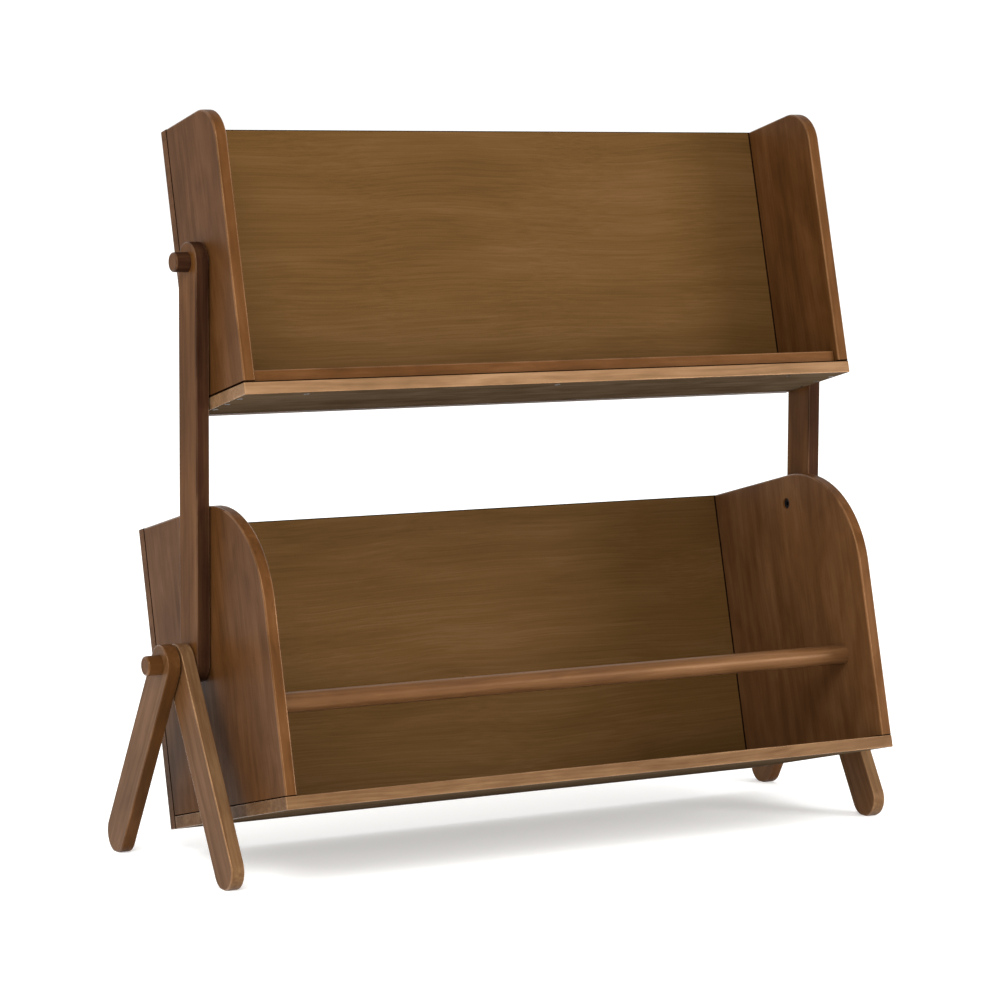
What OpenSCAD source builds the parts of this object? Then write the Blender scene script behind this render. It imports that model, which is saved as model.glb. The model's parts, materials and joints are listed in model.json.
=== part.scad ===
// Two-tier book rack: two open-topped trays lean back between a pair of posts.
// The lower tray is bolted to the posts. The upper tray tilts on its pegs, and
// each post stands on two legs that fold about the lower peg.
// +X is to the right, the front faces -Y and +Z is up. The origin is on the
// floor, under the middle of the rack.

/* [Tray boards] */
// Thickness of the back, bottom and end boards
board_t = 16; // [12:1:22]
// Length of the back and bottom boards
tray_w = 900; // [600:10:1200]

/* [Upper tray] */
// Depth, from the rear face to the front edge
upper_depth = 152; // [130:1:200]
// Height, from the underside to the top edge
upper_h = 364; // [300:1:440]
// Lean of the back board from upright, in degrees
upper_lean = 14.5; // [8:0.5:20]
// Radius of the end boards' front top corners
upper_corner_r = 45; // [10:1:60]
// Tilt axis, measured forward from the rear face
upper_pivot_in = 74; // [60:1:90]
// Tilt axis, measured up from the underside
upper_pivot_up = 181; // [150:1:210]
// Height of the lip rail along the front edge
lip_h = 15; // [10:1:25]
// Thickness of the lip rail
lip_t = 12; // [10:1:16]
// Distance from the front edge back to the lip rail
lip_setback = 8; // [3:1:15]

/* [Lower tray] */
// Depth, from the rear face to the front edge
lower_depth = 338; // [280:1:410]
// Height, from the underside to the top edge
lower_h = 388; // [320:1:440]
// Lean of the back board from upright, in degrees
lower_lean = 14; // [8:0.5:20]
// Radius of the end boards' front top corners
lower_corner_r = 140; // [20:1:160]
// Lower peg's axis, measured forward from the rear face
lower_peg_in = 150; // [120:1:180]
// Lower peg's axis, measured up from the underside
lower_peg_up = 200; // [180:1:210]
// Diameter of the round front rail
rail_d = 26; // [18:1:34]
// Distance from the front edge back to the rail's axis
rail_setback = 63; // [40:1:100]
// Rail's axis, measured up from the underside
rail_up = 132; // [60:1:170]
// Depth of the rail's seats in the end boards
rail_seat = 8; // [5:0.5:10]

/* [Posts and legs] */
// Width of a post or leg
bar_w = 50; // [42:1:60]
// Thickness of a post or leg
bar_t = 18; // [16:1:24]
// Length of a post, from peg axis to peg axis
post_l = 498; // [440:1:620]
// Length of a leg, from the peg's axis to the middle of its round foot
leg_l = 272; // [240:1:340]
// Angle of an open leg from upright, in degrees
leg_spread = 30; // [24:1:36]
// Angle that a leg folds through, in degrees
leg_fold = 30; // [10:1:35]
// Length of the small flat that each foot stands on
foot_flat = 12; // [6:1:20]
// Gap between neighbouring layers: end board, post, front leg and rear leg
layer_gap = 2; // [1:0.5:4]

/* [Pegs and pins] */
// Diameter of the four pegs
peg_d = 25; // [20:1:30]
// Length of peg that stands out past the outermost bar
peg_proud = 20; // [5:1:40]
// Depth of a peg's seat in an end board
peg_seat = 10; // [6:0.5:11]
// Radial clearance of a peg that turns, or that a leg turns on
running_fit = 0.05; // [0.01:0.01:0.1]
// Tilt of the upper tray forward from rest, in degrees
tilt_forward = 14.5; // [5:0.5:20]
// Tilt of the upper tray back from rest, in degrees
tilt_back = 15.5; // [5:0.5:20]
// Diameter of the steel pins that keep the bars on the pegs and stop the turn
pin_d = 5; // [4:0.5:6]
// Depth that a pin reaches into its peg
pin_bite = 3.5; // [2.5:0.1:4]
// Depth of a pin's outer end below the bar's edge
pin_sink = 1; // [0.5:0.1:3]
// Free play of a pin along its groove's width and at its tip
pin_play = 0.3; // [0.2:0.05:0.5]
// Gap between a pin and the groove end that stops it
stop_gap = 0.05; // [0.02:0.01:0.1]
// Outer diameter of the washers and spacers on the pegs
washer_d = 40; // [32:1:48]
// Gap between a washer and a piece that turns against it
washer_gap = 0.3; // [0.2:0.05:0.5]

/* [Tray bolts] */
// Distance from the lower end boards' top edge down to the bolts' axis
bolt_down = 38; // [20:1:60]
// Diameter of the bolt's shank
bolt_d = 8; // [6:0.5:10]
// Diameter of the bolt's head
bolt_head_d = 13; // [11:0.5:14]
// Height of the bolt's head
bolt_head_h = 5; // [3:0.5:6]
// Width of the hexagon socket across its corners
bolt_socket_w = 5.8; // [4:0.2:7]
// Diameter of the round recess that hides the head
recess_d = 15; // [15:0.5:20]
// Depth of the recess
recess_h = 7; // [6:0.5:8]
// Outer diameter of the threaded insert in the post
insert_d = 12; // [11:0.5:16]
// Length of the threaded insert
insert_l = 12; // [8:0.5:13]
// Diameter of the spacer around the bolt
bolt_spacer_d = 20; // [14:1:30]

/* [Screws] */
// Diameter of a screw's shank
screw_d = 4; // [3:0.5:5]
// Diameter of a screw's countersunk head
screw_head_d = 8; // [6:0.5:9]
// Length of a board screw
screw_l = 48; // [35:1:60]
// Distance from an end board's edges to the nearest screws
screw_edge = 33; // [25:1:45]
// Number of screws from the back board into the bottom board
back_screws = 4; // [2:1:7]
// Number of screws that hold the lip rail
lip_screws_n = 3; // [2:1:6]
// Distance from the lip rail's ends to the nearest screws
lip_screw_inset = 74; // [30:1:120]
// Thickness of lip rail left above the lip screws' tips
lip_screw_cover = 4; // [2:0.5:6]

/* [Hidden] */
$fn = 96;
cut_past = 1;

walnut = "#6b482e";
walnut_dark = "#4a2e1c";
veneer = "#66501f";
steel = "#8b8d90";
nylon = "#1d1b19";

bar_r = bar_w / 2;
peg_r = peg_d / 2;
screw_head_h = (screw_head_d - screw_d) / 2;
lip_screw_l = board_t + lip_h - lip_screw_cover;

// Distances along X from the middle plane to the faces of the right-hand layers
end_out = tray_w / 2;
end_in = end_out - board_t;
post_in = end_out + layer_gap;
post_out = post_in + bar_t;
front_in = post_out + layer_gap;
front_out = front_in + bar_t;
rear_in = front_out + layer_gap;
rear_out = rear_in + bar_t;

// Heights of the two peg axes above the floor
lower_peg_z = sqrt(pow(bar_r, 2) - pow(foot_flat / 2, 2)) + leg_l * cos(leg_spread);
upper_peg_z = lower_peg_z + post_l;

// The bolts lie on the posts' centre line, so their height follows the tray's lean
bolt_z = lower_peg_z + (lower_h - bolt_down - lower_peg_up) / cos(lower_lean);

// Reach of the lower tray in front of and behind the pegs, which sets where
// the pegs stand so that the origin is under the middle of the rack
front_reach = (lower_depth - lower_peg_in) * cos(lower_lean) + lower_peg_up * sin(lower_lean);
rear_reach = lower_peg_in * cos(lower_lean) + (lower_h - lower_peg_up) * sin(lower_lean);
post_y = (front_reach - rear_reach) / 2;

// Radii of a pin's tip and of the floor of the groove that it runs in
pin_tip_r = peg_r - pin_bite;
groove_r = pin_tip_r - pin_play;

function evenly(first, last, count) =
    [for (i = [0 : count - 1]) first + (last - first) * i / (count - 1)];

// ---- Placing ----

// Draws its children on the right, or mirrored on the left
module on_side(side) {
    if (side == "left") mirror([1, 0, 0]) children();
    else children();
}

module on_both_sides() {
    on_side("left") children();
    on_side("right") children();
}

// A tray's own frame: the rear face is y = 0, the front edge y = -depth and
// the underside z = 0. The point in, up goes to the peg's axis.
module leaning(lean, in, up, peg_z) {
    translate([0, post_y, peg_z])
        rotate([-lean, 0, 0])
            translate([0, in, -up])
                children();
}

module in_upper_tray() {
    leaning(upper_lean, upper_pivot_in, upper_pivot_up, upper_peg_z) children();
}

module in_lower_tray() {
    leaning(lower_lean, lower_peg_in, lower_peg_up, lower_peg_z) children();
}

// Extrudes an outline of y and z along X, from x0 to x1
module across(x0, x1) {
    translate([x0, 0, 0])
        rotate([90, 0, 90])
            linear_extrude(x1 - x0)
                children();
}

// A round rod along X at height z on the posts' centre line
module rod(z, d, x0, x1) {
    translate([x0, post_y, z])
        rotate([0, 90, 0])
            cylinder(d = d, h = x1 - x0);
}

module ring(z, d_out, d_in, x0, x1) {
    difference() {
        rod(z, d_out, x0, x1);
        rod(z, d_in, x0 - cut_past, x1 + cut_past);
    }
}

// ---- Screws ----

// A countersunk screw that points along +Z, with its head flush at z = 0
module screw_body(length) {
    cylinder(d1 = screw_head_d, d2 = screw_d, h = screw_head_h);
    cylinder(d = screw_d, h = length - screw_d);
    translate([0, 0, length - screw_d])
        cylinder(d1 = screw_d, d2 = 1, h = screw_d);
}

module screw(length) {
    slot_l = screw_head_d * 0.6;
    slot_w = 1;
    slot_h = 1.4;
    difference() {
        screw_body(length);
        for (turn = [0, 90])
            rotate([0, 0, turn])
                translate([-slot_l / 2, -slot_w / 2, -slot_h])
                    cube([slot_l, slot_w, 2 * slot_h]);
    }
}

// Up through the bottom board into both end boards
module at_bottom_screws(depth) {
    for (x = [-1, 1] * (end_out - board_t / 2))
        for (y = evenly(-depth + screw_edge, -board_t - screw_edge, 3))
            translate([x, y, 0])
                children();
}

// Forward through the back board into both end boards and the bottom board
module at_back_screws(h) {
    for (x = [-1, 1] * (end_out - board_t / 2))
        for (z = evenly(board_t + 2 * screw_edge, h - screw_edge, 3))
            translate([x, 0, z])
                rotate([90, 0, 0])
                    children();
    reach = end_in - 2 * screw_edge;
    for (x = evenly(-reach, reach, back_screws))
        translate([x, 0, board_t / 2])
            rotate([90, 0, 0])
                children();
}

module at_tray_screws(depth, h) {
    at_bottom_screws(depth) children();
    at_back_screws(h) children();
}

module at_lip_screws() {
    reach = end_in - lip_screw_inset;
    for (x = evenly(-reach, reach, lip_screws_n))
        translate([x, -upper_depth + lip_setback + lip_t / 2, 0])
            children();
}

// ---- Tray boards, in a tray's own frame ----

module back_board(depth, h) {
    difference() {
        translate([-end_out, -board_t, 0])
            cube([tray_w, board_t, h]);
        at_back_screws(h) screw_body(screw_l);
    }
}

module bottom_board(depth, h) {
    difference() {
        translate([-end_out, -depth, 0])
            cube([tray_w, depth - board_t, board_t]);
        at_tray_screws(depth, h) screw_body(screw_l);
    }
}

// Outline of an end board, with its front top corner rounded
module end_outline(depth, h, corner_r) {
    difference() {
        translate([-depth, board_t])
            square([depth - board_t, h - board_t]);
        translate([-depth, h - corner_r])
            difference() {
                translate([-cut_past, 0]) square(corner_r + cut_past);
                translate([corner_r, 0]) circle(r = corner_r, $fn = 192);
            }
    }
}

module end_board(depth, h, corner_r) {
    difference() {
        across(end_in, end_out) end_outline(depth, h, corner_r);
        at_tray_screws(depth, h) screw_body(screw_l);
    }
}

// ---- Upper tray ----

module upper_back_board() {
    color(veneer) in_upper_tray() back_board(upper_depth, upper_h);
}

module upper_bottom_board() {
    color(walnut)
        in_upper_tray()
            difference() {
                bottom_board(upper_depth, upper_h);
                at_lip_screws() screw_body(lip_screw_l);
            }
}

module upper_end() {
    color(walnut)
        difference() {
            in_upper_tray() end_board(upper_depth, upper_h, upper_corner_r);
            rod(upper_peg_z, peg_d, end_out - peg_seat, end_out + cut_past);
        }
}

module upper_lip_rail() {
    color(walnut)
        in_upper_tray()
            difference() {
                translate([-end_in, -upper_depth + lip_setback, board_t])
                    cube([2 * end_in, lip_t, lip_h]);
                at_lip_screws() screw_body(lip_screw_l);
            }
}

module upper_tray_screws() {
    color(steel) in_upper_tray() at_tray_screws(upper_depth, upper_h) screw(screw_l);
}

module lip_screws() {
    color(steel) in_upper_tray() at_lip_screws() screw(lip_screw_l);
}

// ---- Lower tray ----

module lower_back_board() {
    color(veneer) in_lower_tray() back_board(lower_depth, lower_h);
}

module lower_bottom_board() {
    color(walnut) in_lower_tray() bottom_board(lower_depth, lower_h);
}

module round_rail() {
    half_l = end_in + rail_seat;
    translate([-half_l, rail_setback - lower_depth, rail_up])
        rotate([0, 90, 0])
            cylinder(d = rail_d, h = 2 * half_l);
}

module lower_end() {
    color(walnut)
        difference() {
            in_lower_tray()
                difference() {
                    end_board(lower_depth, lower_h, lower_corner_r);
                    round_rail();
                }
            rod(lower_peg_z, peg_d, end_out - peg_seat, end_out + cut_past);
            rod(bolt_z, bolt_d, end_in, end_out + cut_past);
            rod(bolt_z, recess_d, end_in - cut_past, end_in + recess_h);
        }
}

module lower_round_rail() {
    color(walnut) in_lower_tray() round_rail();
}

module lower_tray_screws() {
    color(steel) in_lower_tray() at_tray_screws(lower_depth, lower_h) screw(screw_l);
}

// ---- Tray bolts ----

module tray_bolt() {
    seat_x = end_in + recess_h;
    difference() {
        union() {
            rod(bolt_z, bolt_head_d, seat_x - bolt_head_h, seat_x);
            rod(bolt_z, bolt_d, seat_x, post_in + insert_l);
        }
        translate([seat_x - bolt_head_h - cut_past, post_y, bolt_z])
            rotate([0, 90, 0])
                cylinder(d = bolt_socket_w, h = bolt_head_h / 2 + cut_past, $fn = 6);
    }
}

module tray_bolts() {
    color(steel) on_both_sides() tray_bolt();
}

module post_inserts() {
    color(steel)
        on_both_sides()
            ring(bolt_z, insert_d, bolt_d, post_in, post_in + insert_l);
}

module tray_spacers() {
    color(nylon)
        on_both_sides() {
            ring(lower_peg_z, washer_d, peg_d, end_out, post_in);
            ring(bolt_z, bolt_spacer_d, bolt_d, end_out, post_in);
        }
}

// ---- Posts, legs, pegs and pins ----

// A flat bar that hangs down from z = 0, with round ends
module bar(length, x0, x1) {
    across(x0, x1) {
        circle(r = bar_r);
        translate([0, -length]) circle(r = bar_r);
        translate([-bar_r, -length]) square([bar_w, length]);
    }
}

// A pin that points to the rear from a bar's pivot at the origin
module pivot_pin(x0, x1) {
    translate([(x0 + x1) / 2, pin_tip_r, 0])
        rotate([-90, 0, 0])
            cylinder(d = pin_d, h = bar_r - pin_sink - pin_tip_r);
}

// The pin's drilling, from the pivot bore out through the bar's edge
module pin_drilling(x0, x1) {
    translate([(x0 + x1) / 2, 0, 0])
        rotate([-90, 0, 0])
            cylinder(d = pin_d, h = bar_r + cut_past);
}

// Cuts the groove that a pin sweeps in a peg, from angle a0 to angle a1, for a
// bar from x0 to x1. Angles go from the rear towards the top.
module pin_groove(z, x0, x1, a0, a1) {
    half_w = pin_d / 2 + pin_play;
    mid_x = (x0 + x1) / 2;
    far_r = 2 * peg_r;
    slot_w = pin_d + 2 * stop_gap;
    translate([0, post_y, z])
        across(mid_x - half_w, mid_x + half_w)
            difference() {
                union() {
                    for (a = [a0, a1])
                        rotate(a) translate([0, -slot_w / 2]) square([far_r, slot_w]);
                    polygon([
                        [0, 0],
                        far_r * [cos(a0), sin(a0)],
                        far_r * [cos(a1), sin(a1)]
                    ]);
                }
                circle(r = groove_r);
            }
}

module post() {
    color(walnut)
        difference() {
            translate([0, post_y, upper_peg_z])
                difference() {
                    bar(post_l, post_in, post_out);
                    pin_drilling(post_in, post_out);
                }
            rod(upper_peg_z, peg_d + 2 * running_fit, post_in - cut_past, post_out + cut_past);
            rod(lower_peg_z, peg_d, post_in - cut_past, post_out + cut_past);
            rod(bolt_z, insert_d, post_in - cut_past, post_in + insert_l);
        }
}

module post_pins() {
    color(steel)
        on_both_sides()
            translate([0, post_y, upper_peg_z])
                pivot_pin(post_in, post_out);
}

// Places its children at the lower peg, turned to the front or the rear
module as_leg(turn) {
    translate([0, post_y, lower_peg_z])
        rotate([turn, 0, 0])
            children();
}

module leg(turn, x0, x1) {
    color(walnut)
        difference() {
            as_leg(turn)
                difference() {
                    bar(leg_l, x0, x1);
                    pin_drilling(x0, x1);
                }
            rod(lower_peg_z, peg_d + 2 * running_fit, x0 - cut_past, x1 + cut_past);
            translate([x0 - cut_past, post_y - leg_l, -bar_w])
                cube([x1 - x0 + 2 * cut_past, 2 * leg_l, bar_w]);
        }
}

module front_leg() {
    leg(-leg_spread, front_in, front_out);
}

module rear_leg() {
    leg(leg_spread, rear_in, rear_out);
}

module front_leg_pin() {
    color(steel) as_leg(-leg_spread) pivot_pin(front_in, front_out);
}

module rear_leg_pin() {
    color(steel) as_leg(leg_spread) pivot_pin(rear_in, rear_out);
}

// Turns with the upper tray, so its groove spans the tilt both ways
module upper_peg() {
    color(walnut_dark)
        difference() {
            rod(upper_peg_z, peg_d, end_out - peg_seat, post_out + peg_proud);
            pin_groove(upper_peg_z, post_in, post_out, -tilt_forward, tilt_back);
        }
}

// Fixed in the post and the lower tray, with a groove for each leg's pin
module lower_peg() {
    color(walnut_dark)
        difference() {
            rod(lower_peg_z, peg_d, end_out - peg_seat, rear_out + peg_proud);
            pin_groove(lower_peg_z, front_in, front_out, -leg_spread, leg_fold - leg_spread);
            pin_groove(lower_peg_z, rear_in, rear_out, leg_spread - leg_fold, leg_spread);
        }
}

module leg_washers() {
    color(nylon)
        on_both_sides() {
            ring(lower_peg_z, washer_d, peg_d, post_out, front_in - washer_gap);
            ring(lower_peg_z, washer_d, peg_d, front_out + washer_gap, rear_in - washer_gap);
        }
}

module tilt_washers() {
    color(nylon)
        on_both_sides()
            ring(upper_peg_z, washer_d, peg_d, end_out, post_in - washer_gap);
}

on_side("left") post();  // left_post
on_side("right") post();  // right_post
on_side("left") front_leg();  // left_front_leg
on_side("right") front_leg();  // right_front_leg
on_side("left") rear_leg();  // left_rear_leg
on_side("right") rear_leg();  // right_rear_leg
upper_back_board();
upper_bottom_board();
on_side("left") upper_end();  // upper_left_end
on_side("right") upper_end();  // upper_right_end
upper_lip_rail();
lower_back_board();
lower_bottom_board();
on_side("left") lower_end();  // lower_left_end
on_side("right") lower_end();  // lower_right_end
lower_round_rail();
on_side("left") upper_peg();  // left_upper_peg
on_side("right") upper_peg();  // right_upper_peg
on_side("left") lower_peg();  // left_lower_peg
on_side("right") lower_peg();  // right_lower_peg
post_pins();
on_side("left") front_leg_pin();  // left_front_leg_pin
on_side("right") front_leg_pin();  // right_front_leg_pin
on_side("left") rear_leg_pin();  // left_rear_leg_pin
on_side("right") rear_leg_pin();  // right_rear_leg_pin
tray_bolts();
post_inserts();
tray_spacers();
leg_washers();
tilt_washers();
upper_tray_screws();
lip_screws();
lower_tray_screws();
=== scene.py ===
"""Looks of a two-tier book rack in walnut-stained wood, built on its frame, with a
pale floor, soft studio light and a camera. Lengths are in metres."""

import json
import math

import bmesh
import bpy
import numpy as np
from bpy.props import FloatProperty, FloatVectorProperty, PointerProperty, StringProperty
from bpy.types import Operator, Panel, PropertyGroup
from mathutils import Matrix, Vector

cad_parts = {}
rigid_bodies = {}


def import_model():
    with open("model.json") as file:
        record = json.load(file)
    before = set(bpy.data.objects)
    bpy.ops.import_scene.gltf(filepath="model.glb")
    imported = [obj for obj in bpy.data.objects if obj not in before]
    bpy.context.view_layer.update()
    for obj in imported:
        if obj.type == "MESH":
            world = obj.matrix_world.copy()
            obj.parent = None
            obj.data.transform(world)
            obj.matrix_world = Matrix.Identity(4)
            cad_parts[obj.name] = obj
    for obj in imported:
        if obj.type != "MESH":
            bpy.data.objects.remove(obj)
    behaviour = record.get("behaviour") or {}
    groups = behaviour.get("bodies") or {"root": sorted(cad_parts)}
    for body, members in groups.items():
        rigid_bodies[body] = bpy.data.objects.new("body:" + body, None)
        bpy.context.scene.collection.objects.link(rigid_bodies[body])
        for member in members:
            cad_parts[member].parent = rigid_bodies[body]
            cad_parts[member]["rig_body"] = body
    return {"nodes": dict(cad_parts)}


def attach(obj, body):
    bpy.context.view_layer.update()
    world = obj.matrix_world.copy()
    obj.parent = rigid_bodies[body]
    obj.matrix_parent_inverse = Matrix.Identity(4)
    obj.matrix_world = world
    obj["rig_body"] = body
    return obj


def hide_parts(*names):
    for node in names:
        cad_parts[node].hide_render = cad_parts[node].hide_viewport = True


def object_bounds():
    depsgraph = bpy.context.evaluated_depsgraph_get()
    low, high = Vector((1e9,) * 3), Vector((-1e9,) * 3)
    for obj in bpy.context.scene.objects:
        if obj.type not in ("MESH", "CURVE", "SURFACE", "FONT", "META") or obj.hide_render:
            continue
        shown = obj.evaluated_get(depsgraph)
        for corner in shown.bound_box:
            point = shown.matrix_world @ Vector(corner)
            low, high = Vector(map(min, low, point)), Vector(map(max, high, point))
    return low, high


bl_info = {
    "name": "Two-tier book rack",
    "version": (1, 0, 0),
    "blender": (4, 5, 0),
    "location": "3D View > Sidebar > Book rack",
    "description": "Gives a two-tier book rack its wood, metal and studio",
    "category": "Object",
}

MM = 0.001
# Attribute that holds each point's place in the timber its piece was cut from
TIMBER = "timber"
# Points closer than this are one point
WELD = 0.001 * MM
# How far a face or an edge may be from a side and still lie on it
FLUSH = 0.03 * MM
ON_SIDE = 0.01 * MM
# How far the shape that cuts the holes stands out of the piece
CLEAR = 0.5 * MM
# Less of a bend than this is flat, more than this is an edge to round over, and
# more than this is shaded sharp
FLAT, ARRIS, SHARP = math.radians(0.5), math.radians(30), math.radians(50)
# Places of a piece's materials; the round-overs carry a painted highlight, and the seams
# painted shade
FACE, EDGE, ROUND_OVER, UNDERSIDE, SHADED_SEAM, END = range(6)
# A face whose normal has more than this much of an axis faces that way
FACING, END_ON = 0.7, 0.95
# Steps around a round-over
ROUND_STEPS = 3
# Lacquer polished along an edge: its roughness, and its sheen against a face's
EDGE_GLOSS, EDGE_SHEEN = 0.24, 6
FLOOR_RADIUS = 30

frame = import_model()
CAD_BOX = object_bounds()
FLOOR_Z = CAD_BOX[0][2]


# ---- Sizes and colours ----


class RackSizes(PropertyGroup):
    """Edge sizes and leans that the pieces are finished with."""

    upper_lean: FloatProperty(
        name="Upper lean",
        description="Lean of the upper tray's back board from upright",
        default=math.radians(14.5),
        subtype="ANGLE",
    )
    lower_lean: FloatProperty(
        name="Lower lean",
        description="Lean of the lower tray's back board from upright",
        default=math.radians(14),
        subtype="ANGLE",
    )
    leg_spread: FloatProperty(
        name="Leg spread",
        description="Angle of an open leg from upright",
        default=math.radians(30),
        subtype="ANGLE",
    )
    bar_round: FloatProperty(
        name="Bar round-over",
        description="Radius along the edges of the posts and legs",
        default=1.6 * MM,
        unit="LENGTH",
    )
    end_round: FloatProperty(
        name="End board round-over",
        description="Radius along the open edges of the end boards",
        default=2.2 * MM,
        unit="LENGTH",
    )
    board_round: FloatProperty(
        name="Board round-over",
        description="Radius along the edges of the back and bottom boards",
        default=1.0 * MM,
        unit="LENGTH",
    )
    lip_round: FloatProperty(
        name="Lip round-over",
        description="Radius along the top edges of the lip rail",
        default=1.8 * MM,
        unit="LENGTH",
    )
    peg_round: FloatProperty(
        name="Peg round-over",
        description="Radius around a peg's end",
        default=2.4 * MM,
        unit="LENGTH",
    )
    # The corner line is painted shade, coloured with the seam wood
    corner_line: FloatProperty(
        name="Corner line",
        description="Width of the dark line where a back board meets an end board",
        default=1.6 * MM,
        unit="LENGTH",
    )
    peg_slack: FloatProperty(
        name="Peg slack",
        description="How far a peg's diameter is under its size",
        default=0.15 * MM,
        unit="LENGTH",
    )
    seam_round: FloatProperty(
        name="Seam round-over",
        description="Radius along an edge that lies against another board",
        default=1.4 * MM,
        unit="LENGTH",
    )


class RackColours(PropertyGroup):
    """Wood, metal and nylon colours, as sRGB hex."""

    # The board tones also paint shade on the rear legs' edges
    board_dark: StringProperty(
        name="Board, dark",
        description="Where the stain soaked into an end board deepest",
        default="#38210d",
    )
    board_mid: StringProperty(
        name="Board, middle", description="Most of an end board", default="#452a13"
    )
    board_light: StringProperty(
        name="Board, light", description="Where the stain took least", default="#50331b"
    )
    # Lighter tones for the lower tray's inner faces: painted light
    inner_dark: StringProperty(
        name="Inner face, dark",
        description="Dark streaks inside the lower tray's ends",
        default="#432a15",
    )
    inner_mid: StringProperty(
        name="Inner face, middle",
        description="Most of the lower tray's ends, inside",
        default="#50341d",
    )
    inner_light: StringProperty(
        name="Inner face, light",
        description="Light streaks inside the lower tray's ends",
        default="#5b3e25",
    )
    # Lighter copy of the shelf tones for the upper bottom board: painted light
    pale_dark: StringProperty(
        name="Pale shelf, dark",
        description="Dark streaks in the upper bottom board",
        default="#533d28",
    )
    pale_mid: StringProperty(
        name="Pale shelf, middle",
        description="Most of the upper bottom board",
        default="#644a32",
    )
    pale_light: StringProperty(
        name="Pale shelf, light",
        description="Light streaks in the upper bottom board",
        default="#745940",
    )
    # The shelf tones also paint light on the front legs' edges
    shelf_dark: StringProperty(
        name="Shelf, dark",
        description="Dark streaks in the bottom boards",
        default="#432c18",
    )
    shelf_mid: StringProperty(
        name="Shelf, middle", description="Most of a bottom board", default="#533b26"
    )
    shelf_light: StringProperty(
        name="Shelf, light",
        description="Light streaks in the bottom boards",
        default="#634b32",
    )
    # Darker, greyer tones under the bottom boards: painted shade
    under_dark: StringProperty(
        name="Underside, dark",
        description="Dark streaks under the bottom boards",
        default="#3c2f21",
    )
    under_mid: StringProperty(
        name="Underside, middle",
        description="Most of a bottom board's underside",
        default="#493b2c",
    )
    under_light: StringProperty(
        name="Underside, light",
        description="Light streaks under the bottom boards",
        default="#554738",
    )
    leg_dark: StringProperty(
        name="Leg, dark", description="Dark streaks in the legs", default="#402812"
    )
    leg_mid: StringProperty(
        name="Leg, middle", description="Most of a leg", default="#50351d"
    )
    leg_light: StringProperty(
        name="Leg, light", description="Light streaks in the legs", default="#60412a"
    )
    post_dark: StringProperty(
        name="Post, dark", description="Dark streaks in the posts' faces", default="#38210c"
    )
    post_mid: StringProperty(
        name="Post, middle", description="Most of a post's face", default="#492c12"
    )
    post_light: StringProperty(
        name="Post, light",
        description="Light streaks in the posts' faces",
        default="#56371b",
    )
    dowel_dark: StringProperty(
        name="Dowel, dark", description="Dark streaks in the round rail", default="#422917"
    )
    dowel_mid: StringProperty(
        name="Dowel, middle", description="Most of the round rail", default="#51361f"
    )
    dowel_light: StringProperty(
        name="Dowel, light",
        description="Light streaks in the round rail",
        default="#5f422b",
    )
    # Deep tones: painted shade on the posts' edges, and the upper pegs' own dark stain
    deep_dark: StringProperty(
        name="Deep stain, dark",
        description="Dark streaks along the posts' edges",
        default="#1b0c06",
    )
    deep_mid: StringProperty(
        name="Deep stain, middle",
        description="Most of a post's edge or an upper peg",
        default="#28160d",
    )
    deep_light: StringProperty(
        name="Deep stain, light",
        description="Light streaks along the posts' edges",
        default="#352113",
    )
    veneer_dark: StringProperty(
        name="Veneer, dark",
        description="Growth lines in the back boards",
        default="#3f2b13",
    )
    veneer_mid: StringProperty(
        name="Veneer, middle", description="Most of a back board", default="#483218"
    )
    veneer_light: StringProperty(
        name="Veneer, light",
        description="Pale figure in the back boards",
        default="#503920",
    )
    # Nearly black seam tones: painted shade in the joints between boards and in the back
    # boards' corners
    seam_dark: StringProperty(
        name="Seam, dark", description="Stain gathered in a seam", default="#0e0703"
    )
    seam_mid: StringProperty(
        name="Seam, middle", description="Most of a seam", default="#170c05"
    )
    seam_light: StringProperty(
        name="Seam, light", description="Thin stain in a seam", default="#241409"
    )
    # Paler colour mixed in along the round-overs: a painted highlight
    edge_highlight: StringProperty(
        name="Rubbed edge",
        description="Bare wood showing through along a sanded edge",
        default="#b98a63",
    )
    lacquer: StringProperty(
        name="Lacquer", description="Amber tint of the lacquer's sheen", default="#e2b284"
    )
    steel: StringProperty(
        name="Plated steel", description="Pins and inserts", default="#b4b6ba"
    )
    black_steel: StringProperty(
        name="Blackened steel", description="Screws and tray bolts", default="#2b2a2c"
    )
    nylon: StringProperty(
        name="Nylon", description="Washers and spacers", default="#1a1817"
    )
    floor: StringProperty(
        name="Floor", description="Matte studio floor", default="#fafaf9"
    )


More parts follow.
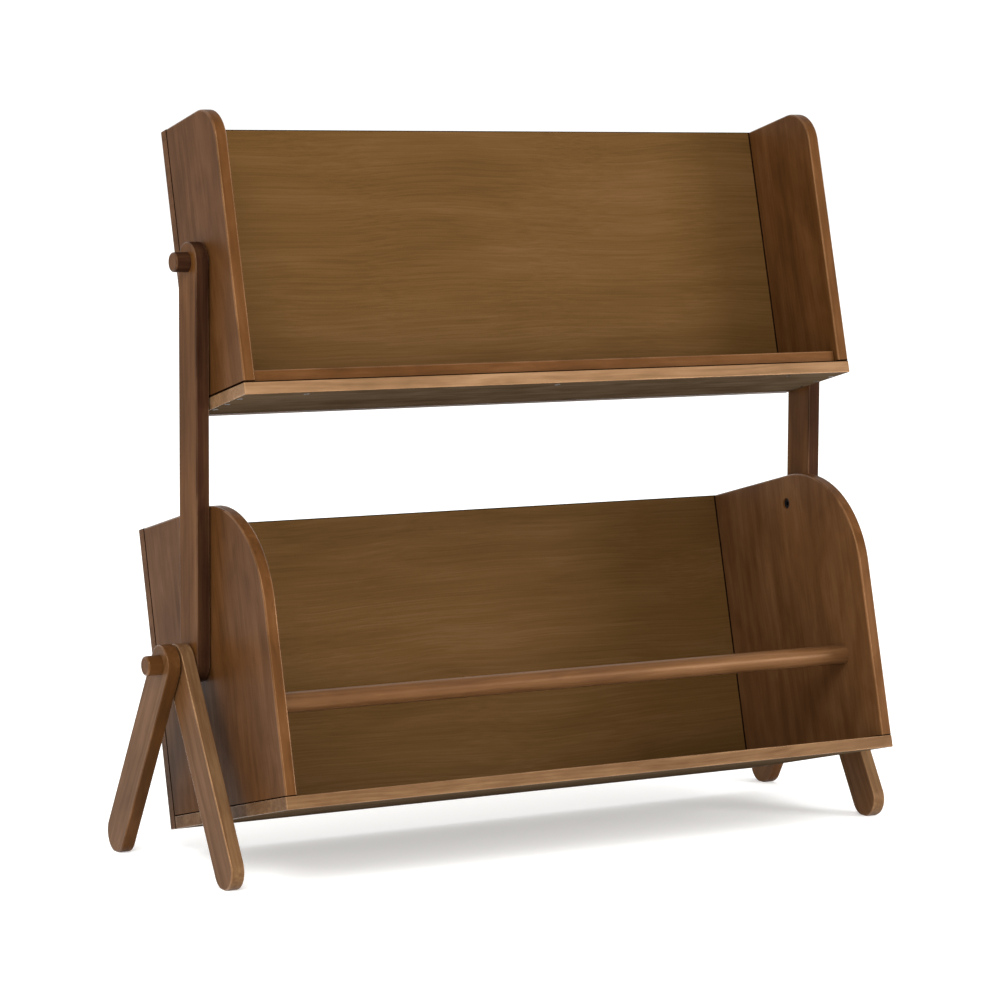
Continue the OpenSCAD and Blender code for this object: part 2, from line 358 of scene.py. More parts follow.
class RackStudio(PropertyGroup):
    """Where the camera and the lamps stand."""

    target: FloatVectorProperty(
        name="Target",
        description="Point that the camera looks at",
        default=(-0.033, 0.0, 0.444),
        subtype="XYZ",
        unit="LENGTH",
    )
    azimuth: FloatProperty(
        name="Azimuth",
        description="Camera's turn about the rack, from straight in front",
        default=math.radians(-30.47),
        subtype="ANGLE",
    )
    elevation: FloatProperty(
        name="Elevation",
        description="Camera's height above the target",
        default=math.radians(6.03),
        subtype="ANGLE",
    )
    roll: FloatProperty(
        name="Roll",
        description="Camera's turn about its own line of sight",
        default=math.radians(0.3),
        subtype="ANGLE",
    )
    distance: FloatProperty(
        name="Distance",
        description="From the camera to the target",
        default=4.514,
        unit="LENGTH",
    )
    lens: FloatProperty(
        name="Lens",
        description="Focal length on a 36 mm sensor, in millimetres",
        default=125.2,
    )
    left_power: FloatProperty(
        name="Left light", description="Lamp at the front left, in watts", default=190.0
    )
    right_power: FloatProperty(
        name="Right light",
        description="Low lamp at the front right, in watts",
        default=170.0,
    )
    front_power: FloatProperty(
        name="Front light", description="Low lamp in front, in watts", default=80.0
    )
    side_power: FloatProperty(
        name="Side light", description="Lamp beside the left end, in watts", default=28.0
    )
    floor_glow: FloatProperty(
        name="Floor glow", description="Light that comes up through the floor", default=0.28
    )
    sky: FloatProperty(
        name="Surround", description="Strength of the white surround", default=1.1
    )


# ---- Materials ----


def linear(hex_colour):
    """An sRGB hex colour as linear RGBA."""
    values = [int(hex_colour[i : i + 2], 16) / 255 for i in (1, 3, 5)]
    rgb = [v / 12.92 if v <= 0.04045 else ((v + 0.055) / 1.055) ** 2.4 for v in values]
    return (*rgb, 1.0)


def add(tree, kind, inputs=None, **settings):
    """Adds a node with its settings. inputs holds a value or an output for each socket."""
    node = tree.nodes.new(kind)
    node.location.x = 190 * len(tree.nodes)
    for name, value in settings.items():
        setattr(node, name, value)
    for socket, value in (inputs or {}).items():
        if isinstance(value, bpy.types.NodeSocket):
            tree.links.new(value, node.inputs[socket])
        else:
            node.inputs[socket].default_value = value
    return node


def new_material(name):
    """An empty material, and the Principled shader that its look goes into."""
    material = bpy.data.materials.new(name)
    material.use_nodes = True
    tree = material.node_tree
    tree.nodes.clear()
    shader = add(tree, "ShaderNodeBsdfPrincipled")
    add(tree, "ShaderNodeOutputMaterial", {"Surface": shader.outputs[0]})
    return material, tree, shader


def per(*millimetres):
    """Scale of a pattern whose features are this long, so that one of them is one unit."""
    return tuple(1 / (length * MM) for length in millimetres)


def stained_wood(
    name, tones, ring, pith, sway, streak, blotch, figure, gloss, sheen, edge_highlight=None
):
    """Wood that was sanded, wiped with walnut stain and sprayed with satin lacquer.

    The stain soaks in unevenly, so soft streaks run along the grain, and broad
    patches are darker. Growth rings and pores show through, and the lacquer
    leaves a low sheen over fine pores. X is along the grain. ring is the ring
    spacing, pith the place of the tree's centre, sway how far the rings wander,
    and streak and blotch are feature lengths, all in millimetres. figure is the
    share of the rings in the colour, gloss the roughness and sheen the strength
    of the lacquer's highlight, and the last argument, when given, is a paler
    colour mixed in along an edge in places: a painted highlight.
    """
    material, tree, shader = new_material(name)
    colours = bpy.context.scene.rack_colours
    place = add(tree, "ShaderNodeAttribute", attribute_name=TIMBER).outputs["Vector"]

    # The rings wander slowly along the trunk, which draws arches on a sawn face
    bend = add(
        tree,
        "ShaderNodeTexNoise",
        {
            "Vector": add(
                tree, "ShaderNodeMapping", {"Vector": place, "Scale": per(420, 260, 260)}
            ).outputs[0],
            "Scale": 1.0,
            "Detail": 2.0,
            "Roughness": 0.5,
        },
    )
    centred = add(
        tree,
        "ShaderNodeVectorMath",
        {0: bend.outputs["Color"], 1: (0.5, 0.5, 0.5)},
        operation="SUBTRACT",
    )
    swayed = add(
        tree,
        "ShaderNodeVectorMath",
        {0: centred.outputs[0], 1: (0.0, sway * MM, sway * MM), 2: place},
        operation="MULTIPLY_ADD",
    )
    rings = add(
        tree,
        "ShaderNodeTexWave",
        {
            "Vector": add(
                tree,
                "ShaderNodeMapping",
                {
                    "Vector": swayed.outputs[0],
                    "Location": (0.0, pith[0] * MM, pith[1] * MM),
                },
            ).outputs[0],
            # The texture's own period is pi / 10
            "Scale": math.pi / 10 / (ring * MM),
            "Distortion": 0.8,
            "Detail": 3.0,
            "Detail Scale": 0.25,
            "Detail Roughness": 0.6,
        },
        wave_type="RINGS",
        rings_direction="X",
        wave_profile="SAW",
    )

    streaks = add(
        tree,
        "ShaderNodeTexNoise",
        {
            "Vector": add(
                tree,
                "ShaderNodeMapping",
                {"Vector": swayed.outputs[0], "Scale": per(*streak)},
            ).outputs[0],
            "Scale": 1.0,
            "Detail": 5.0,
            "Roughness": 0.62,
        },
    )
    patches = add(
        tree,
        "ShaderNodeTexNoise",
        {
            "Vector": add(
                tree, "ShaderNodeMapping", {"Vector": place, "Scale": per(*blotch)}
            ).outputs[0],
            "Scale": 1.0,
            "Detail": 3.0,
            "Roughness": 0.55,
            "Distortion": 0.4,
        },
    )
    # Real pores are a tenth of a millimetre wide, so they are drawn coarser to show
    pores = add(
        tree,
        "ShaderNodeTexNoise",
        {
            "Vector": add(
                tree, "ShaderNodeMapping", {"Vector": place, "Scale": per(26, 1.1, 1.1)}
            ).outputs[0],
            "Scale": 1.0,
            "Detail": 2.0,
            "Roughness": 0.7,
        },
    )
    open_pores = add(
        tree,
        "ShaderNodeMapRange",
        {"Value": pores.outputs["Fac"], "From Min": 0.56, "From Max": 0.74},
        interpolation_type="SMOOTHSTEP",
    )

    # Streaks and patches share the tone, with the rings and the pores over them
    soaked = add(
        tree,
        "ShaderNodeMix",
        {0: 0.5, 2: streaks.outputs["Fac"], 3: patches.outputs["Fac"]},
        data_type="FLOAT",
    )
    tone = add(
        tree,
        "ShaderNodeMapRange",
        {"Value": soaked.outputs[0], "From Min": 0.36, "From Max": 0.64},
    )
    ringed = add(
        tree,
        "ShaderNodeMix",
        {0: figure, 2: tone.outputs[0], 3: rings.outputs["Fac"]},
        data_type="FLOAT",
    )
    lower = add(
        tree,
        "ShaderNodeMapRange",
        {"Value": ringed.outputs[0], "From Min": 0.0, "From Max": 0.5},
    )
    upper = add(
        tree,
        "ShaderNodeMapRange",
        {"Value": ringed.outputs[0], "From Min": 0.5, "From Max": 1.0},
    )
    dark, mid, light = (linear(t) for t in tones)
    colour = add(
        tree,
        "ShaderNodeMix",
        {0: lower.outputs[0], 6: dark, 7: mid},
        data_type="RGBA",
    )
    colour = add(
        tree,
        "ShaderNodeMix",
        {0: upper.outputs[0], 6: colour.outputs[2], 7: light},
        data_type="RGBA",
    )
    in_pores = add(
        tree,
        "ShaderNodeMath",
        {0: open_pores.outputs[0], 1: 0.45},
        operation="MULTIPLY",
    )
    colour = add(
        tree,
        "ShaderNodeMix",
        {0: in_pores.outputs[0], 6: colour.outputs[2], 7: dark},
        data_type="RGBA",
    )
    if edge_highlight:
        # Painted highlight: a paler colour mixed in along an edge, in places
        painted_highlight = add(
            tree,
            "ShaderNodeMapRange",
            {
                "Value": patches.outputs["Fac"],
                "From Min": 0.38,
                "From Max": 0.62,
                "To Min": 0.0,
                "To Max": 0.08,
            },
        )
        colour = add(
            tree,
            "ShaderNodeMix",
            {0: painted_highlight.outputs[0], 6: colour.outputs[2], 7: edge_highlight},
            data_type="RGBA",
        )
    tree.links.new(colour.outputs[2], shader.inputs["Base Color"])

    rough = add(
        tree,
        "ShaderNodeMapRange",
        {
            "Value": ringed.outputs[0],
            "To Min": gloss + 0.06,
            "To Max": gloss - 0.04,
        },
    )
    tree.links.new(rough.outputs[0], shader.inputs["Roughness"])
    relief = add(
        tree,
        "ShaderNodeBump",
        {
            "Height": add(
                tree,
                "ShaderNodeMath",
                {0: open_pores.outputs[0], 1: -0.6, 2: rings.outputs["Fac"]},
                operation="MULTIPLY_ADD",
            ).outputs[0],
            "Strength": 0.15,
            "Distance": 0.05 * MM,
        },
    )
    tree.links.new(relief.outputs[0], shader.inputs["Normal"])
    shader.inputs["IOR"].default_value = 1.5
    # The lacquer is amber
    shader.inputs["Specular IOR Level"].default_value = sheen
    shader.inputs["Specular Tint"].default_value = linear(colours.lacquer)
    return material


PLANK = dict(
    ring=6.0,
    pith=(-120, -60),
    sway=40,
    streak=(200, 12, 12),
    blotch=(80, 34, 34),
    figure=0.14,
    gloss=0.44,
    sheen=0.07,
)
SHELF = dict(
    PLANK, ring=4.5, streak=(170, 5, 5), blotch=(90, 30, 30), figure=0.16, sheen=0.12
)
BAR = dict(
    ring=3.5,
    pith=(-200, -160),
    sway=16,
    streak=(300, 9, 9),
    blotch=(120, 24, 24),
    figure=0.15,
    gloss=0.40,
    sheen=0.07,
)
WOODS = {
    # Poplar planks, flat sawn: broad soft streaks, dark patches, faint rings
    "board": PLANK,
    # Inside the lower tray's ends: a lighter copy of the board wood, painted light on their
    # inner faces
    "inner": PLANK,
    # Harder planks cut for the bottoms, which took less stain; the upper board takes a
    # lighter copy, painted light
    "shelf": SHELF,
    "pale": SHELF,
    # Their undersides: a darker, greyer copy that paints the shade under the boards,
    # rougher and without lacquer sheen
    "under": dict(PLANK, gloss=0.62, sheen=0.0),
    # Straight-grained bars, sanded finer: narrow streaks, and the posts duller
    "leg": BAR,
    "post": dict(BAR, sheen=0.04),
    # Turned dowel with a thicker coat: a clear line of light along the top
    "dowel": dict(BAR, gloss=0.30, sheen=0.2),
    # Nearly black-brown: painted shade on the posts' edges, and the upper pegs, stained
    # twice
    "deep": dict(BAR, sheen=0.03),
    # Sliced veneer: fine even lines that barely differ, in long soft bands
    "veneer": dict(
        ring=9.0,
        pith=(40, 25),
        sway=45,
        streak=(240, 1.8, 1.8),
        blotch=(320, 44, 44),
        figure=0.2,
        gloss=0.48,
        sheen=0.06,
    ),
    # Painted shade between two boards: a thin dark line with no shine
    "seam": dict(BAR, gloss=0.6, sheen=0.0),
}


def wood(kind, edge_highlight=False):
    """The stained wood of one kind, made once, or that wood with a painted highlight along
    an edge.
    """
    name = f"walnut_stained_{kind}" + ("_edge" if edge_highlight else "")
    if name in bpy.data.materials:
        return bpy.data.materials[name]
    colours = bpy.context.scene.rack_colours
    tones = [getattr(colours, f"{kind}_{tone}") for tone in ("dark", "mid", "light")]
    cut = WOODS[kind]
    if not edge_highlight:
        return stained_wood(name, tones, **cut)
    polished = dict(cut, gloss=EDGE_GLOSS, sheen=EDGE_SHEEN * cut["sheen"])
    return stained_wood(name, tones, edge_highlight=linear(colours.edge_highlight), **polished)


def worked_metal(name, colour, metallic, roughness, grit):
    """Steel turned and then plated or blackened. Fine turning marks break up a soft
    highlight, and the finish is duller in patches. grit is in millimetres."""
    material, tree, shader = new_material(name)
    place = add(tree, "ShaderNodeTexCoord").outputs["Object"]
    marks = add(
        tree,
        "ShaderNodeTexNoise",
        {
            "Vector": add(
                tree, "ShaderNodeMapping", {"Vector": place, "Scale": per(grit, grit, grit)}
            ).outputs[0],
            "Scale": 1.0,
            "Detail": 3.0,
        },
    )
    base = linear(colour)
    dull = tuple(0.7 * c for c in base[:3]) + (1.0,)
    mixed = add(
        tree,
        "ShaderNodeMix",
        {0: marks.outputs["Fac"], 6: base, 7: dull},
        data_type="RGBA",
    )
    tree.links.new(mixed.outputs[2], shader.inputs["Base Color"])
    rough = add(
        tree,
        "ShaderNodeMapRange",
        {
            "Value": marks.outputs["Fac"],
            "To Min": roughness - 0.08,
            "To Max": roughness + 0.12,
        },
    )
    tree.links.new(rough.outputs[0], shader.inputs["Roughness"])
    relief = add(
        tree,
        "ShaderNodeBump",
        {"Height": marks.outputs["Fac"], "Strength": 0.2, "Distance": 0.02 * MM},
    )
    tree.links.new(relief.outputs[0], shader.inputs["Normal"])
    shader.inputs["Metallic"].default_value = metallic
    return material


# ---- Pieces ----

ACROSS, BACK, UP = Vector((1, 0, 0)), Vector((0, 1, 0)), Vector((0, 0, 1))
# How each kind of piece lies on the bench: along its grain, across it, and
# through its thickness
LAID = {
    "panel": (ACROSS, UP, -BACK),
    "flat": (ACROSS, BACK, UP),
    "upright": (UP, -BACK, ACROSS),
}


def bench(laid, lean):
    """Turns the bench's axes to the rack's, for a piece that leans back by an angle."""
    axes = Matrix([list(a) for a in LAID[laid]]).transposed()
    return (Matrix.Rotation(-lean, 3, "X") @ axes).to_4x4()


def outer_faces(bm):
    """Faces with the whole piece behind them, which a hole's walls don't have."""
    points = np.array([v.co for v in bm.verts])
    normals = np.array([f.normal for f in bm.faces])
    held = np.array([f.normal.dot(f.verts[0].co) for f in bm.faces])
    furthest = (normals @ points.T).max(1)
    return {f for f, gap in zip(bm.faces, furthest - held) if gap < FLUSH}


def add_object(name, bm, materials=()):
    """A new object in the scene, made from bm, which is then freed."""
    mesh = bpy.data.meshes.new(name)
    bm.to_mesh(mesh)
    bm.free()
    for material in materials:
        mesh.materials.append(material)
    obj = bpy.data.objects.new(name, mesh)
    bpy.context.scene.collection.objects.link(obj)
    return obj


def on_bench(node, turned):
    """The node's shape, laid on the bench, and its outer faces."""
    bm = bmesh.new()
    bm.from_mesh(frame["nodes"][node].data)
    bm.transform(turned.inverted())
    bmesh.ops.remove_doubles(bm, verts=bm.verts, dist=WELD)
    bm.normal_update()
    return bm, outer_faces(bm)


def drilled(node, turned):
    """The node's shape with its outer faces moved out a little, so that only its
    holes and cuts are left to take from a rounded blank."""
    bm, outer = on_bench(node, turned)
    moves = {}
    for v in bm.verts:
        facing = []
        for f in v.link_faces:
            if f in outer and all(f.normal.dot(n) < 0.99 for n in facing):
                facing.append(f.normal.copy())
        moves[v] = sum(facing, Vector()) * CLEAR
    for v, move in moves.items():
        v.co += move
    bm.transform(turned)
    return bm


def blank(node, turned, arris, seam, seams):
    """The piece before drilling, with how far each edge is rounded, as a share of
    arris. Also returns its lowest and highest corners on the bench."""
    bm, outer = on_bench(node, turned)
    corners = {v for f in outer for v in f.verts}
    solid = bmesh.new()
    for v in corners:
        solid.verts.new(v.co)
    bm.free()
    hull = bmesh.ops.convex_hull(solid, input=solid.verts)
    left_over = hull["geom_interior"] + hull["geom_unused"]
    spare = {g for g in left_over if isinstance(g, bmesh.types.BMVert)}
    bmesh.ops.delete(solid, geom=list(spare), context="VERTS")
    bmesh.ops.dissolve_limit(
        solid, angle_limit=FLAT, verts=solid.verts, edges=solid.edges
    )
    bmesh.ops.recalc_face_normals(solid, faces=solid.faces)
    points = np.array([v.co for v in solid.verts])
    low, high = Vector(points.min(0)), Vector(points.max(0))

    weight = solid.edges.layers.float.new("bevel_weight_edge")
    for e in solid.edges:
        if e.calc_face_angle(0) > ARRIS:
            against = any(
                all(abs(v.co[axis] - limit[axis]) < ON_SIDE for v in e.verts)
                for axis, limit in sides(seams, low, high)
            )
            e[weight] = (seam if against else arris) / arris
    solid.transform(turned)
    return solid, low, high


def sides(names, low, high):
    """The axis and the limit of each side named, such as "x-"."""
    return [("xyz".index(name[0]), low if name[1] == "-" else high) for name in names]


def ease(node, laid, lean, cut_from, materials, arris, seam=0.0, seams=()):
    """Makes the finished piece that stands for a node, with its sharp edges rounded.

    The piece lies flat on the bench with X along its grain, at the place cut_from
    in its timber, in millimetres, so that no two pieces have the same grain.
    materials come from wood_set. arris is the radius along its edges, and seam
    the radius along the edges of the sides in seams, which lie against another
    board.
    """
    turned = bench(laid, lean)
    solid, low, high = blank(node, turned, arris, seam, seams)
    piece = add_object(node + "_piece", solid, materials)
    cutter = add_object(node + "_holes", drilled(node, turned), materials)

    rounding = piece.modifiers.new("Round-over", "BEVEL")
    rounding.limit_method = "WEIGHT"
    rounding.width = arris
    rounding.segments = ROUND_STEPS
    rounding.use_clamp_overlap = False
    rounding.material = ROUND_OVER
    drilling = piece.modifiers.new("Holes", "BOOLEAN")
    drilling.operation = "INTERSECT"
    drilling.solver = "EXACT"
    drilling.object = cutter
    depsgraph = bpy.context.evaluated_depsgraph_get()
    shaped = piece.evaluated_get(depsgraph)
    mesh = bpy.data.meshes.new_from_object(shaped, depsgraph=depsgraph)
    piece.modifiers.clear()
    piece.data = mesh
    bpy.data.objects.remove(cutter)

    # Each point keeps its place in the timber, and each face gets its finish
    back = turned.inverted()
    timber = mesh.attributes.new(TIMBER, "FLOAT_VECTOR", "POINT")
    at = [back @ v.co for v in mesh.vertices]
    shift = Vector(cut_from) * MM - low
    timber.data.foreach_set("vector", [c for p in at for c in p + shift])
    into = back.to_3x3()
    for f in mesh.polygons:
        f.use_smooth = True
        normal = into @ f.normal
        if f.material_index == ROUND_OVER:
            # A seam's round-over is no wider than seam, but for rounding
            if any(
                all(abs(at[i][axis] - limit[axis]) < 1.05 * seam for i in f.vertices)
                for axis, limit in sides(seams, low, high)
            ):
                # The seam's round-over takes the nearly black seam wood: painted shade in
                # the joint
                f.material_index = SHADED_SEAM
        elif abs(normal.x) > END_ON:
            f.material_index = END
        elif normal.z > FACING:
            f.material_index = FACE
        else:
            f.material_index = UNDERSIDE if normal.z < -FACING else EDGE
    mesh.set_sharp_from_angle(angle=SHARP)
    shading = piece.modifiers.new("Flat faces", "WEIGHTED_NORMAL")
    shading.keep_sharp = True

    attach(piece, frame["nodes"][node]["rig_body"])
    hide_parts(node)
    return piece


def wood_set(face, edge=None, under=None, grain_end=None):
    """Materials of a piece's faces, edges, round-overs with a painted highlight, underside,
    seams in painted shade, and ends.
    """
    edge = edge or face
    return [
        wood(face),
        wood(edge),
        wood(edge, edge_highlight=True),
        wood(under or face),
        wood("seam"),
        wood(grain_end or edge),
    ]


def paint_corner_shade(piece, inner):
    """Paints shade on a back board's front in a strip along each end board. inner
    is how far from the middle that starts, and the boards cover the rest."""
    bm = bmesh.new()
    bm.from_mesh(piece.data)
    for side in (-1, 1):
        whole = bm.verts[:] + bm.edges[:] + bm.faces[:]
        bmesh.ops.bisect_plane(
            bm,
            geom=whole,
            plane_co=(side * inner, 0, 0),
            plane_no=(side, 0, 0),
            dist=WELD,
        )
    for f in bm.faces:
        # The strip along each end board takes the seam wood: painted shade in the corner
        if f.material_index == FACE and abs(f.calc_center_median().x) > inner:
            f.material_index = SHADED_SEAM
    bm.to_mesh(piece.data)
    bm.free()


class RACK_OT_back_boards(Operator):
    """Veneered back boards, with banded edges"""

    bl_idname = "rack.back_boards"
    bl_label = "Back boards"

    def execute(self, context):
        sizes = context.scene.rack_sizes
        finish = wood_set("veneer", "board")
        inside = min(v.co.x for v in frame["nodes"]["upper_right_end"].data.vertices)
        cuts = {
            "upper_back_board": (sizes.upper_lean, (150, 40, 0)),
            "lower_back_board": (sizes.lower_lean, (2600, 320, 0)),
        }
        for node, (lean, cut_from) in cuts.items():
            piece = ease(
                node,
                "panel",
                lean,
                cut_from,
                finish,
                sizes.board_round,
                sizes.seam_round,
                ("z+",),
            )
            # A strip of painted shade along each end board
            paint_corner_shade(piece, inside - sizes.corner_line)
        return {"FINISHED"}


class RACK_OT_bottom_boards(Operator):
    """Bottom boards, with the front edge showing"""

    bl_idname = "rack.bottom_boards"
    bl_label = "Bottom boards"

    def execute(self, context):
        sizes = context.scene.rack_sizes
        cuts = {
            # The upper bottom board takes the lighter pale wood: painted light
            "upper_bottom_board": (sizes.upper_lean, (300, 100, 40), "pale", ("z+",)),
            "lower_bottom_board": (sizes.lower_lean, (1800, 60, 200), "shelf", ()),
        }
        for node, (lean, cut_from, kind, seams) in cuts.items():
            piece = ease(
                node,
                "flat",
                lean,
                cut_from,
                # The bottom boards' undersides take the under wood: painted shade
                wood_set(kind, under="under"),
                sizes.board_round,
                sizes.seam_round,
                seams,
            )
        return {"FINISHED"}


class RACK_OT_end_boards(Operator):
    """End boards, with the grain upright"""

    bl_idname = "rack.end_boards"
    bl_label = "End boards"

    def execute(self, context):
        sizes = context.scene.rack_sizes
        upper = wood_set("board")
        cuts = {
            "upper_left_end": (sizes.upper_lean, (100, 20, 30), upper),
            "upper_right_end": (sizes.upper_lean, (900, 240, 90), upper),
            "lower_left_end": (
                sizes.lower_lean,
                (1700, 60, 10),
                # Its inner face takes the lighter inner wood: painted light
                wood_set("inner", edge="board", under="board"),
            ),
            "lower_right_end": (
                sizes.lower_lean,
                (2500, 500, 60),
                # Its inner face takes the lighter inner wood: painted light
                wood_set("board", under="inner"),
            ),
        }
        for node, (lean, cut_from, finish) in cuts.items():
            piece = ease(
                node,
                "upright",
                lean,
                cut_from,
                finish,
                sizes.end_round,
                sizes.seam_round,
                ("x-", "y-"),
            )
        return {"FINISHED"}


class RACK_OT_lip_rail(Operator):
    """Low rail along the upper tray's front edge"""

    bl_idname = "rack.lip_rail"
    bl_label = "Lip rail"

    def execute(self, context):
        sizes = context.scene.rack_sizes
        piece = ease(
            "upper_lip_rail",
            "flat",
            sizes.upper_lean,
            (3400, 90, 20),
            wood_set("board"),
            sizes.lip_round,
            sizes.seam_round,
            ("x-", "x+", "z-"),
        )
        return {"FINISHED"}


class RACK_OT_posts(Operator):
    """Posts, round at both ends"""

    bl_idname = "rack.posts"
    bl_label = "Posts"

    def execute(self, context):
        sizes = context.scene.rack_sizes
        cuts = {"left_post": (200, 30, 12), "right_post": (1300, 150, 60)}
        for node, cut_from in cuts.items():
            # The posts' edges take the nearly black deep wood: painted shade
            finish = wood_set("post", edge="deep")
            piece = ease(node, "upright", 0.0, cut_from, finish, sizes.bar_round)
        return {"FINISHED"}


class RACK_OT_legs(Operator):
    """Folding legs, round at both ends, each with a small flat under its foot"""

    bl_idname = "rack.legs"
    bl_label = "Legs"

    def execute(self, context):
        sizes = context.scene.rack_sizes
        cuts = {
            "left_front_leg": (sizes.leg_spread, (2100, 40, 30)),
            "right_front_leg": (sizes.leg_spread, (2700, 210, 80)),
            "left_rear_leg": (-sizes.leg_spread, (3300, 90, 50)),
            "right_rear_leg": (-sizes.leg_spread, (3900, 160, 10)),
        }
        for node, (lean, cut_from) in cuts.items():
            # The front legs' edges take the lighter shelf wood, painted light, and the rear
            # legs' edges the darker board wood, painted shade
            finish = wood_set("leg", edge="board" if "rear" in node else "shelf")
            piece = ease(node, "upright", lean, cut_from, finish, sizes.bar_round)
        return {"FINISHED"}


def slim(mesh, slack):
    """Takes a little off a round peg that lies along X, so that bars turn on it."""
    points = np.empty(3 * len(mesh.vertices))
    mesh.vertices.foreach_get("co", points)
    points = points.reshape(-1, 3)
    low, high = points.min(0), points.max(0)
    scale = 1 - slack / (high - low)
    scale[0] = 1
    middle = (low + high) / 2
    mesh.vertices.foreach_set("co", ((points - middle) * scale + middle).ravel())
    mesh.update()


class RACK_OT_pegs(Operator):
    """Round pegs that the posts and legs hang on"""

    bl_idname = "rack.pegs"
    bl_label = "Pegs"

    def execute(self, context):
        sizes = context.scene.rack_sizes
        cuts = {
            "left_upper_peg": (100, 20, 160),
            "right_upper_peg": (420, 70, 210),
            "left_lower_peg": (740, 40, 250),
            "right_lower_peg": (1060, 90, 300),
        }
        for node, cut_from in cuts.items():
            finish = wood_set("deep" if "upper" in node else "board", grain_end="board")
            piece = ease(node, "flat", 0.0, cut_from, finish, sizes.peg_round)
            slim(piece.data, sizes.peg_slack)
        return {"FINISHED"}


class RACK_OT_round_rail(Operator):
    """Round rail across the front of the lower tray"""

    bl_idname = "rack.round_rail"
    bl_label = "Round rail"

    def execute(self, context):
        sizes = context.scene.rack_sizes
        piece = ease(
            "lower_round_rail",
            "flat",
            sizes.lower_lean,
            (4600, 120, 140),
            wood_set("dowel"),
            sizes.seam_round,
        )
        return {"FINISHED"}


class RACK_OT_hardware(Operator):
    """Screws, bolts, pins, inserts, washers and spacers"""

    bl_idname = "rack.hardware"
    bl_label = "Hardware"

    def execute(self, context):
        colours = context.scene.rack_colours
        # Zinc-plated steel: pale, slightly mottled, with a soft highlight
        plated = worked_metal("zinc_plated_steel", colours.steel, 1.0, 0.32, 1.5)
        # Blackened steel: near black and oily, with a dull highlight
        black = worked_metal("blackened_steel", colours.black_steel, 1.0, 0.36, 1.2)
        # Moulded nylon: black, waxy and even, with a fine mould grain
        nylon = worked_metal("moulded_nylon", colours.nylon, 0.0, 0.45, 0.8)
        made_of = {
            "post_pins": plated,
            "left_front_leg_pin": plated,
            "right_front_leg_pin": plated,
            "left_rear_leg_pin": plated,
            "right_rear_leg_pin": plated,
            "post_inserts": plated,
            "tray_bolts": black,
            "upper_tray_screws": black,
            "lower_tray_screws": black,
            "lip_screws": black,
            "tray_spacers": nylon,
            "leg_washers": nylon,
            "tilt_washers": nylon,
        }
        for node, material in made_of.items():
            mesh_object = frame["nodes"][node]
            mesh_object.data.materials.clear()
            mesh_object.data.materials.append(material)
        return {"FINISHED"}


# ---- Studio ----


LAMPS_AIM = (0, 0, 0.45)
# Each lamp's place, and its width and height
LAMPS = {
    "left": ((-2.7, -3.2, 3.4), (2.6, 2.0)),
    "right": ((3.2, -3.4, 1.2), (2.0, 1.6)),
    "front": ((-0.6, -4.6, 0.9), (2.4, 1.4)),
    "side": ((-4.2, -0.2, 1.4), (2.4, 2.4)),
}


def soft_lamp(name, place, aim, size, power):
    """A large soft lamp that faces a point."""
    lamp = bpy.data.lights.new(name, "AREA")
    lamp.shape = "RECTANGLE"
    lamp.size, lamp.size_y = size
    lamp.energy = power
    obj = bpy.data.objects.new(name, lamp)
    obj.location = place
    obj.rotation_euler = (Vector(aim) - Vector(place)).to_track_quat("-Z", "Y").to_euler()
    bpy.context.scene.collection.objects.link(obj)


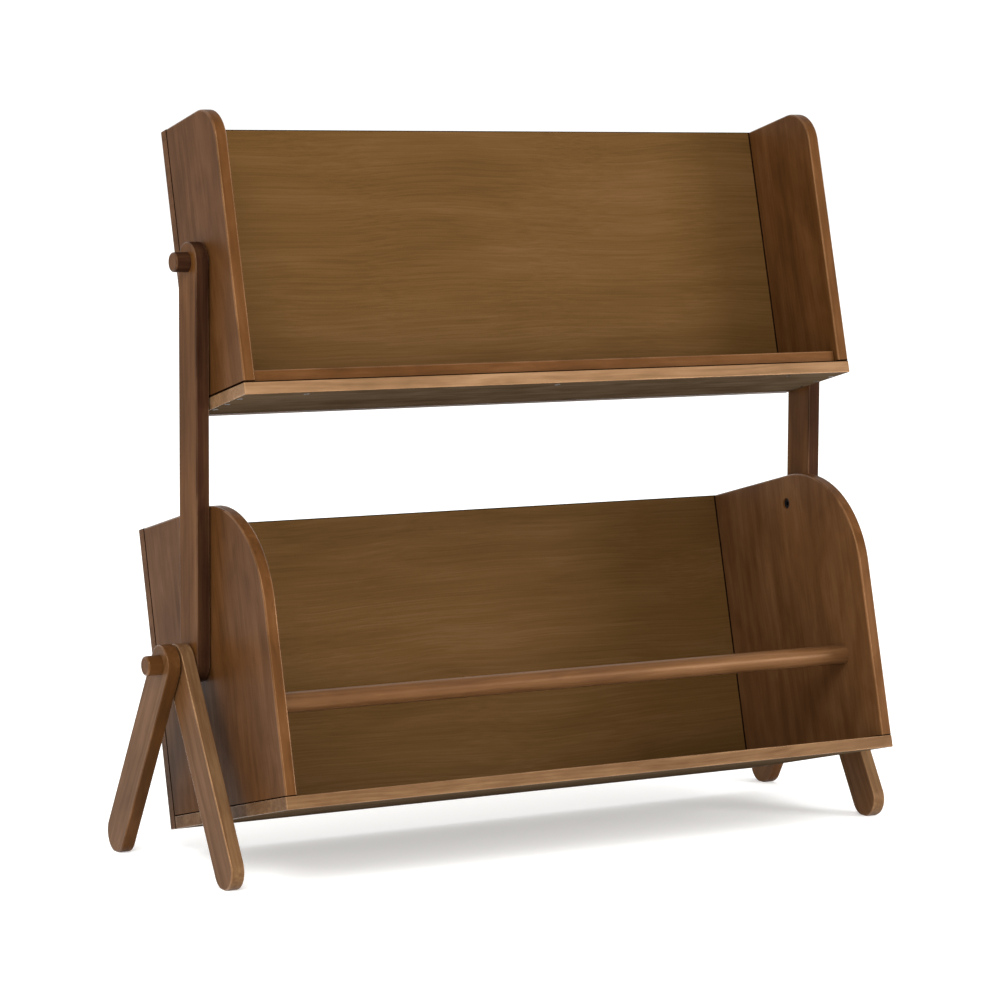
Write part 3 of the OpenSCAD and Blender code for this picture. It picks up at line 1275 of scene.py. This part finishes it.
class RACK_OT_stage(Operator):
    """Pale floor, soft lamps, white surround and the camera"""

    bl_idname = "rack.stage"
    bl_label = "Stage"

    def execute(self, context):
        studio = context.scene.rack_studio
        colours = context.scene.rack_colours
        scene = context.scene

        # Opal acrylic table, sanded matte and lit from below: even and very pale
        paint, tree, shader = new_material("opal_acrylic_sanded")
        mottle = add(
            tree,
            "ShaderNodeTexNoise",
            {
                "Vector": add(
                    tree,
                    "ShaderNodeMapping",
                    {
                        "Vector": add(tree, "ShaderNodeTexCoord").outputs["Object"],
                        "Scale": per(600, 600, 600),
                    },
                ).outputs[0],
                "Scale": 1.0,
            },
        )
        rough = add(
            tree,
            "ShaderNodeMapRange",
            {"Value": mottle.outputs["Fac"], "To Min": 0.75, "To Max": 0.9},
        )
        tree.links.new(rough.outputs[0], shader.inputs["Roughness"])
        shader.inputs["Base Color"].default_value = linear(colours.floor)
        shader.inputs["Specular IOR Level"].default_value = 0.2
        shader.inputs["Emission Color"].default_value = linear(colours.floor)
        shader.inputs["Emission Strength"].default_value = studio.floor_glow

        bm = bmesh.new()
        bmesh.ops.create_circle(bm, cap_ends=True, segments=96, radius=FLOOR_RADIUS)
        mesh = bpy.data.meshes.new("studio_floor")
        bm.to_mesh(mesh)
        bm.free()
        mesh.materials.append(paint)
        floor = bpy.data.objects.new("studio_floor", mesh)
        floor.location.z = FLOOR_Z
        scene.collection.objects.link(floor)

        for name, (place, size) in LAMPS.items():
            power = getattr(studio, f"{name}_power")
            soft_lamp(f"{name}_light", place, LAMPS_AIM, size, power)

        world = bpy.data.worlds.new("white_surround")
        world.use_nodes = True
        scene.world = world
        sky = world.node_tree.nodes["Background"]
        sky.inputs["Color"].default_value = (1, 1, 1, 1)
        sky.inputs["Strength"].default_value = studio.sky
        scene.view_settings.view_transform = "Standard"

        camera = bpy.data.cameras.new("camera")
        camera.lens = studio.lens
        camera.sensor_width = 36
        camera.clip_end = 100
        seen = bpy.data.objects.new("camera", camera)
        level = math.cos(studio.elevation)
        look = Vector(
            (
                -math.sin(studio.azimuth) * level,
                math.cos(studio.azimuth) * level,
                -math.sin(studio.elevation),
            )
        )
        right = look.cross(UP).normalized()
        above = right.cross(look)
        turn = Matrix.Rotation(studio.roll, 3, -look)
        axes = Matrix([turn @ right, turn @ above, -look]).transposed()
        place = Vector(studio.target) - studio.distance * look
        seen.matrix_world = Matrix.Translation(place) @ axes.to_4x4()
        scene.collection.objects.link(seen)
        scene.camera = seen
        return {"FINISHED"}


OPERATORS = (
    RACK_OT_stage,
    RACK_OT_back_boards,
    RACK_OT_bottom_boards,
    RACK_OT_end_boards,
    RACK_OT_lip_rail,
    RACK_OT_posts,
    RACK_OT_legs,
    RACK_OT_pegs,
    RACK_OT_round_rail,
    RACK_OT_hardware,
)


class VIEW3D_PT_rack(Panel):
    """Buttons that build the rack's looks"""

    bl_idname = "VIEW3D_PT_rack"
    bl_label = "Book rack"
    bl_space_type = "VIEW_3D"
    bl_region_type = "UI"
    bl_category = "Book rack"

    def draw(self, context):
        for group in (
            context.scene.rack_sizes,
            context.scene.rack_colours,
            context.scene.rack_studio,
        ):
            column = self.layout.column(align=True)
            for name in group.__annotations__:
                column.prop(group, name)
        column = self.layout.column()
        for operator in OPERATORS:
            column.operator(operator.bl_idname)


GROUPS = {
    "rack_sizes": RackSizes,
    "rack_colours": RackColours,
    "rack_studio": RackStudio,
}


def register():
    for cls in (*GROUPS.values(), *OPERATORS, VIEW3D_PT_rack):
        bpy.utils.register_class(cls)
    for name, group in GROUPS.items():
        setattr(bpy.types.Scene, name, PointerProperty(type=group))


def unregister():
    for name in GROUPS:
        delattr(bpy.types.Scene, name)
    for cls in reversed((*GROUPS.values(), *OPERATORS, VIEW3D_PT_rack)):
        bpy.utils.unregister_class(cls)


def main():
    """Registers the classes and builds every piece."""
    register()
    for operator in OPERATORS:
        group, name = operator.bl_idname.split(".")
        getattr(getattr(bpy.ops, group), name)()
    bpy.context.view_layer.update()


if __name__ == "__main__":
    main()
